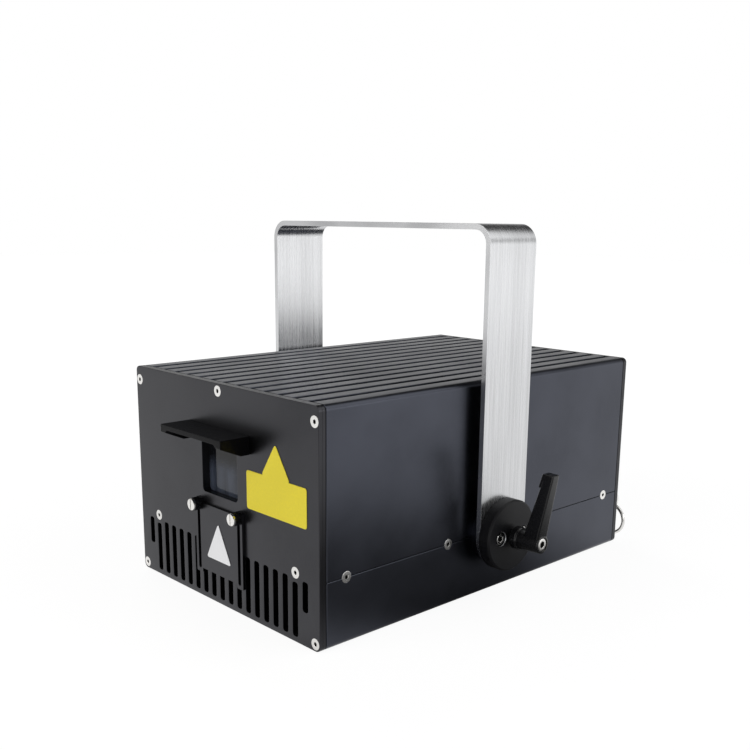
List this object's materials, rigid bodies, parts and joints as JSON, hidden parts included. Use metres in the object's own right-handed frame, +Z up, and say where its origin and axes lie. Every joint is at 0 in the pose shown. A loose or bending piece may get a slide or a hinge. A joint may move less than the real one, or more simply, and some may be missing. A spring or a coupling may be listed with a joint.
{
  "type": "laser show projector",
  "caption": "Black ribbed box that throws a scanned laser picture through a shuttered front window, hung in a tilting flat-bar yoke with a clamping lever on each side.",
  "frame": {"origin": "centre of the casing base, on the surface it stands on", "axes": "+Z up, -Y out of the front window, +X to the right seen from the front"},
  "size_m": [0.3324, 0.3895, 0.271],
  "materials": {
    "black_anodised": "satin black anodised, fine grain",
    "bare_aluminium": "milled",
    "laser_anodised": "anodised",
    "brushed_stainless": "brushed along the bar",
    "steel": "bright",
    "black_oxide": "black oxide",
    "silver_badge": "satin silver",
    "nickel": "satin nickel",
    "black_plastic": "fine texture",
    "blue_plastic": "moulded",
    "fibre": "matt",
    "window_glass": "coated",
    "mirror_coat": "polished",
    "yellow_foil": "satin",
    "display_black": "gloss",
    "circuit_board": "satin"
  },
  "bodies": {
    "housing": {"front_panel": "black_anodised", "rear_panel": "black_anodised", "top_cover": "black_anodised", "base_tray": "black_anodised", "optical_bench": "bare_aluminium", "front_screws": "steel", "rear_screws": "steel", "side_screws": "steel", "visor": "black_anodised", "window_glass": "window_glass", "window_frame": "black_plastic", "front_label": "yellow_foil", "pivot_boss_left": "black_anodised", "pivot_boss_right": "black_anodised", "friction_washers": "fibre", "safety_eye": "steel", "power_inlet": "blue_plastic", "data_sockets": "nickel", "network_socket": "nickel", "interlock_socket": "black_plastic", "scan_signal_socket": "nickel", "key_switch": "nickel", "display_window": "display_black", "blower_left": "black_plastic", "blower_right": "black_plastic", "heat_sink": "bare_aluminium", "power_supply": "bare_aluminium", "laser_red": "laser_anodised", "laser_green": "laser_anodised", "laser_blue": "laser_anodised", "mirror_mounts": "bare_aluminium", "combiner_mirrors": "mirror_coat", "galvo_block": "bare_aluminium", "galvo_motor_x": "black_plastic", "galvo_motor_y": "black_plastic", "beam_stop_motor": "black_plastic", "scanner_driver": "circuit_board", "control_board": "circuit_board"},
    "yoke": {"yoke": "brushed_stainless", "pivot_disc_left": "black_anodised", "pivot_disc_right": "black_anodised", "disc_screws": "steel"},
    "clamp_stud_left": {"clamp_stud_left": "black_oxide"},
    "clamp_handle_left": {"clamp_handle_left": "black_plastic"},
    "clamp_stud_right": {"clamp_stud_right": "black_oxide"},
    "clamp_handle_right": {"clamp_handle_right": "black_plastic"},
    "shutter": {"shutter_plate": "black_anodised", "shutter_badge": "silver_badge"},
    "thumb_screw_left": {"thumb_screw_left": "steel"},
    "thumb_screw_right": {"thumb_screw_right": "steel"},
    "safety_ring": {"safety_ring": "steel"},
    "key": {"key": "steel"},
    "encoder_shaft": {"encoder_shaft": "steel"},
    "menu_knob": {"menu_knob": "black_plastic"},
    "rotor_left": {"rotor_left": "black_plastic"},
    "rotor_right": {"rotor_right": "black_plastic"},
    "galvo_mirror_x": {"galvo_mirror_x": "mirror_coat"},
    "galvo_mirror_y": {"galvo_mirror_y": "mirror_coat"},
    "beam_stop": {"beam_stop": "steel"}
  },
  "joints": [
    {"name": "yoke_tilt", "type": "hinge", "parent": "housing", "child": "yoke", "pos_m": [0, -0.0015, 0.0478], "axis": [1, 0, 0], "range_deg": [-180, 180]},
    {"name": "shutter_slide", "type": "slide", "parent": "housing", "child": "shutter", "axis": [0, 0, 1], "range_m": [0, 0.0475]},
    {"name": "clamp_turn_left", "type": "hinge", "parent": "housing", "child": "clamp_stud_left", "pos_m": [-0.12, -0.0015, 0.0478], "axis": [-1, 0, 0], "range_deg": [-90, 90]},
    {"name": "handle_lift_left", "type": "slide", "parent": "clamp_stud_left", "child": "clamp_handle_left", "axis": [-1, 0, 0], "range_m": [0, 0.0035], "stiffness_N_per_m": 600, "springref_m": -0.003},
    {"name": "thumb_turn_left", "type": "hinge", "parent": "housing", "child": "thumb_screw_left", "pos_m": [-0.0246, -0.17, 0.07165], "axis": [0, -1, 0], "range_deg": [0, 360]},
    {"name": "rotor_spin_left", "type": "hinge", "parent": "housing", "child": "rotor_left", "pos_m": [-0.05, -0.1242, 0.015], "axis": [0, 0, 1], "continuous": true},
    {"name": "clamp_turn_right", "type": "hinge", "parent": "housing", "child": "clamp_stud_right", "pos_m": [0.12, -0.0015, 0.0478], "axis": [1, 0, 0], "range_deg": [-90, 90]},
    {"name": "handle_lift_right", "type": "slide", "parent": "clamp_stud_right", "child": "clamp_handle_right", "axis": [1, 0, 0], "range_m": [0, 0.0035], "stiffness_N_per_m": 600, "springref_m": -0.003},
    {"name": "thumb_turn_right", "type": "hinge", "parent": "housing", "child": "thumb_screw_right", "pos_m": [0.0246, -0.17, 0.07165], "axis": [0, -1, 0], "range_deg": [0, 360]},
    {"name": "rotor_spin_right", "type": "hinge", "parent": "housing", "child": "rotor_right", "pos_m": [0.05, -0.1242, 0.015], "axis": [0, 0, 1], "continuous": true},
    {"name": "ring_swing", "type": "hinge", "parent": "housing", "child": "safety_ring", "pos_m": [0.096, 0.1798, 0.0285], "axis": [1, 0, 0], "range_deg": [-20, 100]},
    {"name": "key_turn", "type": "hinge", "parent": "housing", "child": "key", "pos_m": [0.0524, 0.168, 0.085], "axis": [0, 1, 0], "range_deg": [0, 90]},
    {"name": "knob_push", "type": "slide", "parent": "housing", "child": "encoder_shaft", "axis": [0, -1, 0], "range_m": [0, 0.001], "stiffness_N_per_m": 1500, "springref_m": -0.001},
    {"name": "knob_turn", "type": "hinge", "parent": "encoder_shaft", "child": "menu_knob", "pos_m": [-0.006, 0.168, 0.128], "axis": [0, 1, 0], "continuous": true},
    {"name": "galvo_scan_x", "type": "hinge", "parent": "housing", "child": "galvo_mirror_x", "pos_m": [0, -0.135, 0.115], "axis": [0, 1, 0], "range_deg": [-12, 12], "stiffness_Nm_per_rad": 0.005},
    {"name": "galvo_scan_y", "type": "hinge", "parent": "housing", "child": "galvo_mirror_y", "pos_m": [0, -0.135, 0.0987], "axis": [1, 0, 0], "range_deg": [-12, 12], "stiffness_Nm_per_rad": 0.005},
    {"name": "beam_stop_turn", "type": "hinge", "parent": "housing", "child": "beam_stop", "pos_m": [-0.06875, -0.086, 0.09837], "axis": [0, 1, 0], "range_deg": [0, 40], "stiffness_Nm_per_rad": 0.01, "springref_deg": -20.05}
  ]
}
